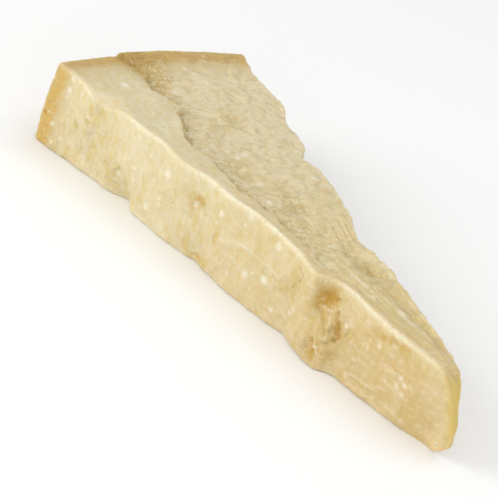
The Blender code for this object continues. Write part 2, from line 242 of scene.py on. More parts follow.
# Narrow, brown-sided creases of the two visible faces, as points of the face
CREASES_FRONT = (
    ((41.0, 19.4), (43.4, 18.0), (45.8, 16.0), (47.9, 13.2)),
    ((48.8, 21.8), (49.9, 19.4), (51.2, 16.2), (52.4, 13.0), (50.6, 10.4), (48.0, 9.6), (44.6, 7.8)),
    ((45.6, 24.4), (47.2, 25.2)),
)
CREASES_TOP = (
    ((-99.4, -16.4), (-96.2, -13.6), (-94.0, -10.9), (-91.4, -9.6), (-87.5, -10.6)),
    ((-97.4, -4.4), (-97.0, -1.6)),
    ((-86.0, -9.0), (-83.0, -8.6), (-81.5, -6.8)),
    ((-78.4, -6.8), (-76.0, -8.4), (-73.0, -7.6)),
    ((-69.5, -12.2), (-66.0, -11.8), (-62.0, -12.6), (-58.6, -13.4), (-55.0, -12.6)),
    ((-58.0, -10.6), (-53.0, -12.8), (-48.0, -14.2)),
    ((-38.0, -14.6), (-30.0, -14.0), (-26.0, -15.6)),
    ((-21.0, -15.4), (-14.0, -13.6), (-7.0, -12.0), (1.0, -10.2)),
    ((9.2, 9.1), (17.0, 7.6), (25.7, 5.2)), ((8.5, 13.5), (16.0, 12.4), (24.1, 10.1)),
    ((12.4, 15.7), (21.4, 14.6)), ((28.0, 3.4), (32.0, 5.6), (35.0, 3.6)),
    ((33.0, 8.6), (38.0, 6.4), (44.0, 8.8)),
    ((44.0, 1.0), (50.0, 1.4), (58.2, 4.0), (67.5, 5.6), (78.0, 5.0), (90.0, 3.2)),
    ((52.0, 4.6), (60.0, 7.0), (70.0, 6.9)),
)
# The crevice below the shelf's edge: how far out it runs, half its width, and how strong the painted
# shade in it is, in brown
CREVICE_OUT = 1.6
CREVICE_WIDTH = 1.4
CREVICE_SHADE = 0.08
CREASE_DEPTH_FRONT = 0.8
CREASE_DEPTH_TOP = 0.4
CREASE_WIDTH = 0.7
CREASE_BROWN_FRONT = 0.38
CREASE_BROWN_TOP = 0.16

# Crystals that the photograph shows: place on the face, and radius
CRYSTALS_FRONT = (
    (-89.7, 31.0, 1.0), (-89.9, 26.2, 1.2), (-77.0, 22.9, 0.9), (-93.5, 10.0, 0.8),
    (-91.1, 3.5, 0.6), (-51.9, 16.3, 0.8), (-59.1, 8.9, 1.2), (-35.6, 24.1, 1.4),
    (-50.3, 11.9, 0.7), (-40.9, 7.0, 1.0), (-9.3, 24.0, 1.2), (2.3, 29.1, 1.2),
    (17.4, 27.4, 1.5), (8.6, 10.7, 1.2), (16.6, 13.5, 1.5), (23.3, 5.8, 1.0),
    (31.4, 9.6, 1.0), (32.3, 12.0, 0.8), (29.7, 6.7, 0.7), (81.2, 17.1, 0.9), (80.8, 13.5, 1.0),
    (83.7, 15.6, 1.0), (83.6, 12.2, 0.8), (53.4, 19.0, 0.9), (54.6, 19.8, 0.6), (46.8, 6.8, 0.8),
)
CRYSTALS_TOP = (
    (-81.1, -23.5, 1.6), (-78.2, -2.2, 1.3), (-33.7, -3.0, 1.0), (-34.5, 1.0, 1.1),
    (-17.0, -4.9, 1.0), (-6.3, -8.1, 1.3), (-27.1, 18.2, 1.1), (-16.2, 11.7, 1.1),
    (-91.7, 10.1, 1.0), (-44.2, -1.4, 0.9), (-17.0, 19.8, 0.9), (-88.0, 12.7, 0.8),
)
# Crystals scattered over the rest: how many to each face, and their smallest and largest radius
SCATTERED = 50
SCATTER_RADIUS = (0.2, 0.6)
SCATTER_SEED = 5
CRYSTAL_RISE = 0.12
CRYSTAL_BLUR = 0.5
# Stand-ins for any distance too long to matter, from a mark and from the rind
FAR = 9.0
FAR_IN = 30.0
# Size of the crumbs in the broken places
CRUMB_SIZE = 1.3
# The streaks of the broken top run at this angle from across the chunk
STREAK_TURN = math.radians(32.0)
# What the material is told at each point of the surface
FIELDS = (
    "crystal", "hairline", "lip", "brown", "amber", "rough", "crumbly", "cracked", "top", "ridge",
    "below_ridge", "rind_depth", "tip_end",
)

# Hairline cracks of the front face, as (X, Z) points
HAIRLINES = (
    ((-36.1, 16.0), (-32.5, 16.6), (-29.1, 16.3)),
    ((29.0, 27.2), (33.2, 26.3), (30.3, 21.9), (28.1, 18.7), (30.7, 18.4)),
    ((52.2, 13.0), (54.6, 16.0), (55.0, 19.7)),
)
# Thin pale lips of flakes on the front face, as (X, Z) points
LIPS = (
    ((-78.5, 32.5), (-76.5, 31.8), (-75.0, 29.3), (-73.8, 27.2)),
    ((-1.8, 18.2), (7.0, 18.7), (14.3, 18.8), (18.6, 18.5), (22.2, 17.7)),
    ((41.4, 19.9), (45.0, 20.2), (47.0, 20.6), (48.8, 23.2)),
    ((45.4, 9.2), (46.4, 7.2), (48.2, 5.0)), ((47.0, 18.6), (48.4, 16.4)),
    ((60.0, 4.6), (66.0, 5.8), (72.8, 6.2)),
    ((57.5, 15.4), (61.3, 14.1), (64.0, 14.6)),
)
LIP_RISE = 0.25
LIP_WIDTH = 0.6
# How strong the painted highlight along the ridge is at places along X
RIDGE_HIGHLIGHT_STRENGTH = (
    (-104.0, 0.1), (-92.0, 0.4), (-78.0, 0.6), (-74.0, 0.1), (-62.0, 0.2), (-58.0, 0.8),
    (-46.0, 0.7), (-38.0, 0.3), (-30.0, 0.3), (-26.0, 0.8), (22.0, 0.8), (36.0, 0.4),
    (40.0, 0.0), (47.0, 0.7), (75.0, 0.7), (100.0, 0.4),
)
# The yellow end of the tip: how far in it reaches, and over what height it fades to the foot
TIP_END_REACH = 4.0
TIP_END_RISE = 14.0
# Height of the yellower strip below the ridge
RIDGE_STRIP = 6.0
# How far in from the block's corner the ridge's line of painted highlight runs, and its width
RIDGE_LINE_DEPTH = 0.5
RIDGE_LINE_WIDTH = 1.3

# The camera that took the photograph, aimed at a point of the chunk
CAMERA_AZIMUTH = math.radians(46.59)
CAMERA_ELEVATION = math.radians(28.29)
CAMERA_ROLL = math.radians(19.62)
CAMERA_TARGET = Vector((0.63, -15.56, 15.0)) * MM
CAMERA_DISTANCE = 1.0
CAMERA_LENS = 207.4
SENSOR_WIDTH = 36.0

# Lights: direction from the chunk, distance, size, power, colour
LIGHTS = {
    "key": ((-0.45, -0.78, 0.45), 1.1, 0.8, 5.2, (1.0, 1.0, 0.99)),
    "fill": ((0.65, -0.70, 0.30), 1.2, 1.0, 3.2, (1.0, 1.0, 0.99)),
    "top": ((0.1, 0.35, 0.93), 1.1, 0.9, 2.8, (1.0, 1.0, 0.99)),
    "side": ((0.95, 0.1, 0.25), 1.1, 0.7, 1.2, (1.0, 1.0, 0.99)),
}
WORLD_STRENGTH = 0.64
FLOOR_SIZE = 8.0

LENGTH, WIDTH, HEIGHT = range(3)
LOW, HIGH = range(2)
HALF_ANGLE = SECTOR_ANGLE / 2.0
TINY = 1e-6


def hump(t, before, after):
    """A smooth hill of height 1 at t = 0 that may fall off faster on one side."""
    return np.exp(-((t / np.where(t < 0.0, before, after)) ** 2))


def ease(t):
    """Goes smoothly from 0 to 1 as t does."""
    t = np.clip(t, 0.0, 1.0)
    return t * t * (3.0 - 2.0 * t)


def edge_offset(x, swells):
    """Distance that a long edge stands out of the sector's flat side."""
    return sum(size * hump(x - at, before, after) for at, before, after, size in swells)


def patches(a, b, places):
    """Sum of soft patches on a face with coordinates a and b."""
    return sum(
        strength * hump(a - at_a, reach_a, reach_a) * hump(b - at_b, reach_b, reach_b)
        for at_a, at_b, reach_a, reach_b, strength in places
    )


def crags(points, shape):
    """Uneven relief with broken, flake-like slopes, between about -height and +height."""
    height, wavelength, seed = shape
    shift = Vector((seed, 2.0 * seed, 3.0 * seed))
    return height * np.array([
        noise.fractal(Vector(p) / wavelength + shift, CRAG_EVENNESS, CRAG_FINER, CRAG_LAYERS)
        for p in points
    ])


def flakes(points, shape):
    """Relief of flat facets at odd tilts, with small steps between them, as broken cheese has."""
    height, facet, seed = shape
    shift = Vector((seed, 2.0 * seed, 3.0 * seed))
    relief = np.empty(len(points))
    for i, p in enumerate(points):
        at = Vector(p) / facet + shift
        at += FLAKE_WANDER * noise.noise_vector(at / FLAKE_WANDER_SIZE)
        _, centres = noise.voronoi(at)
        centre = centres[0]
        tilt = noise.cell_vector(centre / CENTRE_UNIT) - Vector((0.5, 0.5, 0.5))
        relief[i] = FLAKE_TILT * tilt.dot(at - centre) + noise.cell(-centre / CENTRE_UNIT) - 0.5
    return height * relief


def crowd(t, amount):
    """Moves evenly spaced places between 0 and 1 towards both ends."""
    return t - amount * np.sin(2.0 * math.pi * t) / (2.0 * math.pi)


def round_edge(a, b, radius):
    """Bends two faces that meet at an edge onto a quarter round.

    a and b are the depths of points below the two faces. Inner layers follow the outer one.
    """
    layer = np.minimum(a, b)
    room = np.maximum(radius - layer, 0.0)
    reach = np.maximum(a, b) - layer
    turn = np.clip(1.0 - reach / np.maximum(room, TINY), 0.0, 1.0) * math.pi / 4.0
    along = layer + room * (1.0 - np.sin(turn))
    below = layer + room * (1.0 - np.cos(turn))
    near = reach < room
    on_a = a <= b
    new_a = np.where(near, np.where(on_a, below, along), a)
    new_b = np.where(near, np.where(on_a, along, below), b)
    return new_a, new_b


ROUNDED_EDGES = (
    (WIDTH, LOW, HEIGHT, HIGH, RIDGE_ROUND),
    (WIDTH, HIGH, HEIGHT, HIGH, BACK_ROUND),
    (WIDTH, LOW, HEIGHT, LOW, FOOT_ROUND),
    (WIDTH, HIGH, HEIGHT, LOW, FOOT_ROUND),
    (LENGTH, LOW, HEIGHT, HIGH, RIND_ROUND),
    (LENGTH, LOW, HEIGHT, LOW, FOOT_ROUND),
    (LENGTH, HIGH, HEIGHT, HIGH, TIP_TOP_ROUND),
    (LENGTH, HIGH, HEIGHT, LOW, TIP_FOOT_ROUND),
    (LENGTH, LOW, WIDTH, LOW, RIND_ROUND),
    (LENGTH, LOW, WIDTH, HIGH, RIND_ROUND),
    (LENGTH, HIGH, WIDTH, LOW, TIP_ROUND),
    (LENGTH, HIGH, WIDTH, HIGH, TIP_ROUND),
)


def block_sizes(share):
    """Length, width and height of the block where each point is, from its shares of them."""
    up = share[:, HEIGHT]
    tip_gap = TIP_GAP_FOOT + (TIP_GAP_TOP - TIP_GAP_FOOT) * up - TIP_BULGE * 4.0 * up * (1.0 - up)
    length = WHEEL_RADIUS - tip_gap
    radius = WHEEL_RADIUS - length * share[:, LENGTH]
    width = 2.0 * (radius * math.sin(HALF_ANGLE) + CUT_MISS)
    height = RIND_HEIGHT + (TIP_HEIGHT - RIND_HEIGHT) * share[:, LENGTH]
    return np.stack([length, width, height], axis=1)


def rounded(share):
    """Shares of the block's length, width and height after its edges are rounded."""
    size = block_sizes(share)
    place = share * size
    for axis_a, side_a, axis_b, side_b, radius in ROUNDED_EDGES:
        depth_a = place[:, axis_a] if side_a == LOW else size[:, axis_a] - place[:, axis_a]
        depth_b = place[:, axis_b] if side_b == LOW else size[:, axis_b] - place[:, axis_b]
        fit = np.minimum(radius, MOST_ROUND * np.minimum(size[:, axis_a], size[:, axis_b]))
        depth_a, depth_b = round_edge(depth_a, depth_b, fit)
        place[:, axis_a] = depth_a if side_a == LOW else size[:, axis_a] - depth_a
        place[:, axis_b] = depth_b if side_b == LOW else size[:, axis_b] - depth_b
    return place / size


def sector_place(share):
    """Puts shares of the block into the flat-sided sector, whose rind is an arc of the wheel."""
    size = block_sizes(share)
    swell = RIND_BULGE * (1.0 - (2.0 * share[:, HEIGHT] - 1.0) ** 2)
    near_rind = ease(1.0 - share[:, LENGTH] / BULGE_REACH)
    radius = WHEEL_RADIUS - size[:, LENGTH] * share[:, LENGTH] + swell * near_rind
    y = (share[:, WIDTH] - 0.5) * size[:, WIDTH]
    arc = WHEEL_RADIUS - np.sqrt(WHEEL_RADIUS ** 2 - y ** 2)
    x = WHEEL_CENTRE_X - radius + arc * (1.0 - share[:, LENGTH])
    return np.stack([x, y, share[:, HEIGHT] * size[:, HEIGHT]], axis=1)


def beyond_shelf(place):
    """Distance from each point of the top to the edge of the smooth shelf, and to the ridge."""
    x, y, _ = place.T
    inward = y * math.cos(HALF_ANGLE) + (WHEEL_CENTRE_X - x) * math.sin(HALF_ANGLE) + CUT_MISS
    wander = crags(place, (RIM_WANDER, RIM_WIGGLE, SCATTER_SEED))
    return inward - np.interp(x, *zip(*SHELF_EDGE)) + wander, inward


def top_depth(place):
    """How far the top lies below its flat height: a smooth shelf, then cracked cheese."""
    x, y, _ = place.T
    beyond, inward = beyond_shelf(place)
    cracked = ease(beyond / SHELF_EDGE_WIDTH)
    left = DROP_LEFT + (1.0 - DROP_LEFT) * np.exp(-np.maximum(beyond, 0.0) / DROP_FADE)
    drop = np.interp(x, *zip(*SHELF_DROP)) * left + np.abs(crags(place, TOP_CRAGS))
    drop *= ease((WHEEL_RADIUS - np.hypot(WHEEL_CENTRE_X - x, y)) / RIND_CALM)
    ridge_wear_and_highlight = edge_offset(x, RIDGE_WEAR) * np.exp(-((inward / RIDGE_WEAR_WIDTH) ** 2))
    return drop * cracked + ridge_wear_and_highlight + patches(x, y, TOP_HOLLOWS)


def with_relief(place, share):
    """Adds each face's swells, hollows and crags, which fade out inside the block."""
    x, y, z = place.T
    up = share[:, HEIGHT]
    near_front = (1.0 - share[:, WIDTH]) ** SIDE_FADE
    near_back = share[:, WIDTH] ** SIDE_FADE
    near_rind = ease(1.0 - share[:, LENGTH] / RIND_REACH)
    near_top = ease((up - TOP_START) / (1.0 - TOP_START))
    rise = ease(up)

    front = edge_offset(x, FRONT_FOOT) * (1.0 - rise) + edge_offset(x, FRONT_RIDGE) * rise
    front += crags(place, FRONT_CRAGS) + crags(place, FOOT_CRAGS) * (1.0 - rise) ** SIDE_FADE
    front -= patches(x, z, FRONT_HOLLOWS)
    back = edge_offset(x, BACK_FOOT) * (1.0 - rise) + edge_offset(x, BACK_TOP) * rise
    back += crags(place, BACK_CRAGS) * (1.0 - BACK_EDGE_CALM * rise ** SIDE_FADE)
    back -= patches(x, z, BACK_HOLLOWS)
    rind = crags(place, RIND_CRAGS)
    step = RIND_STEP_FOOT + (RIND_STEP_TOP - RIND_STEP_FOOT) * up
    rind -= step * ease((RIND_STEP_Y - y) / RIND_STEP_RUN)

    outward_x = front * near_front + back * near_back
    outward_y = back * near_back - front * near_front
    moved = place.copy()
    moved[:, 0] += outward_x * math.sin(HALF_ANGLE) - rind * near_rind
    moved[:, 1] += outward_y * math.cos(HALF_ANGLE)
    moved[:, 2] -= top_depth(place) * near_top
    return moved


def gridded_block():
    """A unit cube whose six faces are divided into a grid."""
    block = bmesh.new()
    bmesh.ops.create_cube(block, size=1.0)
    for axis, divisions in enumerate(DIVISIONS):
        across = [
            edge for edge in block.edges
            if edge.verts[0].co[axis] * edge.verts[1].co[axis] < 0.0
        ]
        bmesh.ops.subdivide_edges(block, edges=across, cuts=divisions - 1, use_grid_fill=True)
    return block


def merge_flat_underside(block):
    """Makes one face of the part of the underside that lies flat on the floor."""
    flat = [face for face in block.faces if all(abs(v.co.z) < TINY for v in face.verts)]
    merged = bmesh.ops.dissolve_faces(block, faces=flat)["region"]
    bmesh.ops.triangulate(block, faces=merged)


def face_depths(share):
    """Depth of each point below the front, the back, the top, the foot, the rind and the tip."""
    size = block_sizes(share)
    return [
        within * size[:, axis]
        for axis in (WIDTH, HEIGHT, LENGTH)
        for within in (share[:, axis], 1.0 - share[:, axis])
    ]


def nearest(a, b, circles):
    """Distance from each point of a face to the edge of the nearest circle."""
    away = np.full(len(a), FAR)
    for at_a, at_b, radius in circles:
        away = np.minimum(away, np.hypot(a - at_a, b - at_b) - radius)
    return away


def nearest_line(a, b, lines):
    """Distance from each point of a face to the nearest of some bent lines."""
    away = np.full(len(a), FAR)
    for line in lines:
        for (a0, b0), (a1, b1) in zip(line, line[1:]):
            run = np.array([a1 - a0, b1 - b0])
            along = np.clip(((a - a0) * run[0] + (b - b0) * run[1]) / run.dot(run), 0.0, 1.0)
            away = np.minimum(away, np.hypot(a - a0 - along * run[0], b - b0 - along * run[1]))
    return away


def scattered(spread_a, spread_b, seed):
    """Small crystals at random places of a face."""
    chance = np.random.default_rng(seed)
    return np.stack([
        chance.uniform(*spread_a, SCATTERED), chance.uniform(*spread_b, SCATTERED),
        chance.uniform(*SCATTER_RADIUS, SCATTERED),
    ], axis=1).tolist()


def crystal_distance(x, y, z, front, back, top):
    """Distance to the edge of the nearest crystal, on the three faces that show crystals."""
    along, across, up = (-100.0, 100.0), (-36.0, 36.0), (1.0, 31.0)
    away = np.full(len(x), FAR)
    for on_face, a, b, circles in (
        (front, x, z, list(CRYSTALS_FRONT) + scattered(along, up, SCATTER_SEED)),
        (back, x, z, scattered(along, up, SCATTER_SEED + 1)),
        (top, x, y, list(CRYSTALS_TOP) + scattered(along, across, SCATTER_SEED + 2)),
    ):
        away = np.where(on_face > 0.5, np.minimum(away, nearest(a, b, circles)), away)
    return away


def surface_fields(place, share):
    """What the material needs to know at each point, and how rough and how raised it is there."""
    x, y, z = place.T
    to_front, to_back, to_foot, to_top, to_rind, to_tip = face_depths(share)
    front, back, top, rind = [ease(1.0 - d) for d in (to_front, to_back, to_top, to_rind)]
    beyond, _ = beyond_shelf(place)
    cracked = ease(beyond / SHELF_EDGE_WIDTH) * top
    band = np.exp(-np.maximum(beyond, 0.0) / BAND_WIDTH)
    band *= ease((x - BAND_SPAN[0]) / BAND_WIDTH) * ease((BAND_SPAN[1] - x) / BAND_WIDTH)

    on_top = SHELF_ROUGHNESS + cracked * (CRACKED_ROUGHNESS + BAND_ROUGHNESS * band)
    on_top += patches(x, y, CRUMBLED_TOP) * cracked
    on_top *= ease(to_back / CALM_EDGE)
    on_front = CUT_ROUGHNESS + patches(x, z, ROUGH_FRONT)
    on_back = BACK_ROUGHNESS * ease(to_top / CALM_EDGE)
    rough = np.select([front > 0.5, top > 0.5, back > 0.5], [on_front, on_top, on_back], CUT_ROUGHNESS)
    rough *= ease(to_tip / CALM_EDGE)
    rough = rough * (1.0 - rind) + RIND_ROUGHNESS * rind

    crumbly = (rough - CRUMBLY_FROM) * np.where(front > 0.5, CRUMBLY_FRONT, 1.0)
    crumbly += patches(x, y, CRUMBLY_TOP) * top

    crease = np.where(front > 0.5, nearest_line(x, z, CREASES_FRONT), FAR)
    crease = np.where(top > 0.5, np.minimum(crease, nearest_line(x, y, CREASES_TOP)), crease)
    # Browner along the creases, more on the front than on the top
    crease_browning = hump(crease, 1.0, 1.0) * np.where(front > 0.5, CREASE_BROWN_FRONT, CREASE_BROWN_TOP)
    ridge = np.hypot(to_front, to_top) - RIDGE_LINE_DEPTH
    # Painted shade along the crevice below the shelf's edge, stronger where the drop is deeper
    crevice_shade = np.exp(-((beyond - CREVICE_OUT) / CREVICE_WIDTH) ** 2) * top
    crevice_shade *= np.interp(x, *zip(*SHELF_DROP))
    return {
        "crystal": crystal_distance(x, y, z, front, back, top),
        "hairline": np.where(front > 0.5, nearest_line(x, z, HAIRLINES), FAR),
        "lip": np.where(front > 0.5, nearest_line(x, z, LIPS), FAR),
        "groove": hump(crease, CREASE_WIDTH, CREASE_WIDTH) * np.where(
            front > 0.5, CREASE_DEPTH_FRONT, CREASE_DEPTH_TOP
        ),
        # Brown patches and creases, with the crevice's painted shade
        "brown": (
            patches(x, z, BROWN_FRONT) * front + patches(x, y, BROWN_TOP) * top
            + CREVICE_SHADE * crevice_shade + crease_browning
        ),
        "amber": patches(x, z, AMBER_FRONT) * front + patches(x, y, AMBER_TOP) * top,
        "rough": np.clip(rough, 0.0, MOST_ROUGHNESS),
        "crumbly": np.clip(crumbly, 0.0, 1.0),
        "cracked": np.maximum(cracked, back * BACK_CRACKED),
        "top": top,
        "rind_depth": np.minimum(to_rind, FAR_IN),
        "tip_end": ease(1.0 - to_tip / TIP_END_REACH) * ease(z / TIP_END_RISE),
        "below_ridge": np.exp(-(to_top / RIDGE_STRIP) ** 2) * front,
        # Mask of the painted highlight along the ridge
        "ridge": np.exp(-(ridge / RIDGE_LINE_WIDTH) ** 2) * np.interp(x, *zip(*RIDGE_HIGHLIGHT_STRENGTH)),
    }


def move(block, place):
    for vert, co in zip(block.verts, place):
        vert.co = co


def with_marks_raised(block, place, fields):
    """Raises flakes, crystals and lips along the surface's normals, and cuts the creases."""
    move(block, place)
    block.normal_update()
    normal = np.array([vert.normal for vert in block.verts])
    relief = flakes(place, COARSE_FLAKES) + flakes(place, FINE_FLAKES)
    raised = relief * fields["rough"] + CRYSTAL_RISE * ease(-fields["crystal"] + CRYSTAL_BLUR)
    raised -= fields.pop("groove")
    raised += LIP_RISE * hump(fields["lip"], LIP_WIDTH, LIP_WIDTH)
    return place + normal * (raised * ease(place[:, 2] / FLOOR_CLEARANCE))[:, None]


def store_fields(block, fields):
    """Keeps the surface fields with the mesh, for the material."""
    for name in fields:
        block.verts.layers.float.new(name)
    for name, values in fields.items():
        layer = block.verts.layers.float[name]
        for vert, value in zip(block.verts, values):
            vert[layer] = value


def make_cheese():
    """The whole chunk, rind and paste in one closed piece, with its surface fields as attributes."""
    noise.seed_set(FLAKE_SEED)
    block = gridded_block()
    share = np.array([vert.co for vert in block.verts]) + 0.5
    for axis, amount in enumerate(CROWDING):
        share[:, axis] = crowd(share[:, axis], amount)
    share = rounded(share)
    flat_place = sector_place(share)
    fields = surface_fields(flat_place, share)
    place = with_marks_raised(block, with_relief(flat_place, share), fields)
    store_fields(block, fields)
    move(block, place)
    merge_flat_underside(block)
    bmesh.ops.scale(block, vec=(MM, MM, MM), verts=block.verts)
    mesh = bpy.data.meshes.new("cheese")
    block.to_mesh(mesh)
    block.free()
    mesh.shade_smooth()
    cheese = bpy.data.objects.new("cheese", mesh)
    bpy.context.scene.collection.objects.link(cheese)
    return cheese


class Shader:
    """A material's node tree, built up by short calls."""

    def __init__(self, name):
        self.material = bpy.data.materials.new(name)
        self.material.use_nodes = True
        self.nodes = self.material.node_tree.nodes
        self.links = self.material.node_tree.links
        self.surface = self.nodes["Principled BSDF"]

    def put(self, socket, value):
        """Links a node's output to a socket, or sets a plain number or colour on it."""
        if isinstance(value, bpy.types.NodeSocket):
            self.links.new(value, socket)
        elif isinstance(value, tuple) and len(value) == 3 and socket.type == "RGBA":
            socket.default_value = (*value, 1.0)
        else:
            socket.default_value = value

    def node(self, kind, inputs, output=0, **settings):
        made = self.nodes.new(kind)
        for name, value in settings.items():
            setattr(made, name, value)
        for name, value in inputs.items():
            self.put(made.inputs[name], value)
        return made.outputs[output]

    def attribute(self, name):
        return self.node("ShaderNodeAttribute", {}, output="Fac", attribute_name=name)

    def math(self, operation, a, b=0.0, c=0.0):
        return self.node("ShaderNodeMath", {0: a, 1: b, 2: c}, operation=operation)

    def plus(self, *values):
        total = values[0]
        for value in values[1:]:
            total = self.math("ADD", total, value)
        return total

    def times(self, a, b):
        return self.math("MULTIPLY", a, b)

    def step(self, value, low, high, start=0.0, end=1.0):
        """Goes smoothly from start to end as value goes from low to high."""
        return self.node(
            "ShaderNodeMapRange",
            {"Value": value, "From Min": low, "From Max": high, "To Min": start, "To Max": end},
            interpolation_type="SMOOTHSTEP",
        )

    def mix(self, share, a, b):
        made = self.nodes.new("ShaderNodeMix")
        made.data_type = "RGBA"
        self.put(made.inputs["Factor"], share)
        self.put(made.inputs[6], a)
        self.put(made.inputs[7], b)
        return made.outputs[2]

    def noise(self, place, size, detail=3.0, roughness=0.55, distortion=0.0, output=0):
        """Noise whose waves are about size millimetres long."""
        return self.node("ShaderNodeTexNoise", {
            "Vector": place, "Scale": 1.0 / size, "Detail": detail, "Roughness": roughness,
            "Distortion": distortion,
        }, output=output)


# Colours of the paste at the rind's end and at the tip, and of what is on it
PASTE = (0.655, 0.562, 0.355)
TIP_PASTE = (0.605, 0.455, 0.215)
PALE_PASTE = (0.735, 0.655, 0.455)
PALE_TIP = (0.67, 0.545, 0.32)
BELOW_RIDGE = (0.70, 0.615, 0.35)
AMBER_PASTE = (0.625, 0.505, 0.215)
AMBER_TIP = (0.575, 0.425, 0.165)
FLECK = (0.77, 0.685, 0.51)
CRACKED_PASTE = (0.675, 0.580, 0.375)
CRACKED_TIP = (0.67, 0.525, 0.235)
OLIVE_PASTE = (0.575, 0.47, 0.245)
GRANULE = (0.78, 0.70, 0.49)
# Painted shade for the gaps between crumbs and for the pits
PIT_SHADE = (0.43, 0.305, 0.115)
BROWN = (0.53, 0.315, 0.055)
BROWN_CRUMBS = (0.53, 0.355, 0.10)
DEEP_BROWN = (0.40, 0.20, 0.045)
UNDER_RIND = (0.575, 0.450, 0.225)
RIND_INNER = (0.585, 0.390, 0.105)
RIND_PALE = (0.62, 0.435, 0.145)
RIND_TOP = (0.52, 0.345, 0.12)
RIND_OUTER = (0.515, 0.395, 0.145)
RIND_WORN = (0.59, 0.49, 0.235)
RIND_SPECK = (0.40, 0.225, 0.06)
TIP_YELLOW = (0.595, 0.45, 0.115)
CRYSTAL = (0.82, 0.765, 0.63)
# Pale colour of the painted highlight along the ridge, and of the lips of flakes
HIGHLIGHT_AND_PALE_LIP = (0.79, 0.75, 0.58)

# Stretched copies of the coordinates: what each is made from, and its scale along X, Y and Z
STRETCHES = {
    "across": ("turned", (1.0, 0.28, 1.0)),
    "lengthwise": ("place", (0.3, 1.0, 1.0)),
    "banded": ("place", (0.12, 1.0, 1.0)),
    "upright": ("place", (1.0, 1.0, 0.45)),
}
# The noises: coordinates, length of the waves in millimetres, detail, roughness, distortion
NOISES = {
    "broad": ("place", 12.0, 4.0, 0.6, 0.6),
    "medium": ("place", 4.4, 4.0, 0.62, 0.4),
    "curd": ("place", 2.2, 3.0, 0.55, 0.8),
    "fine": ("place", 1.0, 4.0, 0.68, 0.0),
    "grain": ("place", 0.6, 2.0, 0.6, 0.0),
    "holes": ("place", 1.4, 2.0, 0.6, 0.0),
    "blotch": ("upright", 3.0, 3.0, 0.5, 0.4),
    "band": ("banded", 2.6, 3.0, 0.5, 0.3),
    "streak": ("across", 1.4, 3.0, 0.6, 0.6),
    "stroke": ("lengthwise", 1.8, 2.0, 0.5, 0.5),
}


class Surface:
    """The surface fields, and the noises that the colours and the fine relief are made from."""

    def __init__(self, s):
        seen = s.node("ShaderNodeTexCoord", {}, output="Object")
        place = s.node("ShaderNodeVectorMath", {0: seen, "Scale": 1.0 / MM}, operation="SCALE")
        turned = s.node(
            "ShaderNodeVectorRotate", {"Vector": place, "Angle": STREAK_TURN}, rotation_type="Z_AXIS")
        spaces = {"place": place, "turned": turned}
        for name, (base, stretch) in STRETCHES.items():
            spaces[name] = s.node(
                "ShaderNodeVectorMath", {0: spaces[base], 1: stretch}, operation="MULTIPLY")
        for name, (space, *waves) in NOISES.items():
            setattr(self, name, s.noise(spaces[space], *waves))
        for name in FIELDS:
            setattr(self, name, s.attribute(name))
        self.along = s.node("ShaderNodeSeparateXYZ", {0: place}, output="X")
        self.crumb, self.gap = crumbs(s, spaces["across"], CRUMB_SIZE)
        self.pit = s.times(s.step(self.holes, 0.40, 0.30), self.crumbly)


def crumbs(s, place, size):
    """A random tone for each crumb, from 0 to 1, and a value that reaches 1 in the gaps."""
    wander = s.noise(place, size, 2.0, output="Color")
    bent = s.node(
        "ShaderNodeVectorMath", {0: wander, 1: (1.2 * size,) * 3, 2: place},
        operation="MULTIPLY_ADD",
    )
    cells = {"Vector": bent, "Scale": 1.0 / size}
    tone = s.node("ShaderNodeTexVoronoi", cells, output="Color")
    edge = s.node("ShaderNodeTexVoronoi", cells, output="Distance", feature="DISTANCE_TO_EDGE")
    return tone, s.step(edge, 0.12, 0.0)


def cut_paste(s, f):
    """The paste of the cut faces: cream, with paler and more amber mottling."""
    toward_tip = s.step(f.along, -55.0, 80.0)
    paste = s.mix(toward_tip, PASTE, TIP_PASTE)
    pale = s.mix(toward_tip, PALE_PASTE, PALE_TIP)
    amber = s.mix(toward_tip, AMBER_PASTE, AMBER_TIP)
    paste = s.mix(s.times(f.below_ridge, 0.5), paste, BELOW_RIDGE)
    paste = s.mix(s.step(f.broad, 0.45, 0.70, 0.0, 0.7), paste, pale)
    near_tip = s.step(f.along, 20.0, 60.0, 0.35, 0.9)
    paste = s.mix(s.times(s.step(f.stroke, 0.48, 0.68), near_tip), paste, pale)
    paste = s.mix(s.step(amber_share(s, f), -0.10, 0.56, 0.0, 0.95), paste, amber)
    paste = s.mix(s.step(f.curd, 0.53, 0.72, 0.0, 0.45), paste, pale)
    flecked = s.times(s.step(f.fine, 0.56, 0.72), s.step(f.rough, 0.1, 0.8, 0.2, 0.6))
    return s.mix(flecked, paste, FLECK)


def amber_share(s, f):
    return s.plus(
        s.step(f.amber, 0.0, 1.0, 0.0, 0.36), s.step(f.blotch, 0.30, 0.70, -0.30, 0.30),
        s.step(f.curd, 0.3, 0.7, 0.07, -0.07), s.step(f.fine, 0.25, 0.75, 0.04, -0.04),
    )


def broken_paste(s, f):
    """Cracked and crumbled paste, in which each crumb has a tone of its own."""
    paste = s.mix(s.step(f.along, -50.0, 85.0), CRACKED_PASTE, CRACKED_TIP)
    paste = s.mix(s.step(f.streak, 0.50, 0.68, 0.0, 0.55), paste, GRANULE)
    near_tip = s.step(f.along, 15.0, 50.0)
    paste = s.mix(s.times(s.step(f.band, 0.50, 0.62), near_tip), paste, PALE_PASTE)
    paste = s.mix(s.times(s.step(f.band, 0.50, 0.36, 0.0, 0.9), near_tip), paste, OLIVE_PASTE)
    return s.mix(s.step(amber_share(s, f), -0.06, 0.42, 0.0, 0.85), paste, OLIVE_PASTE)


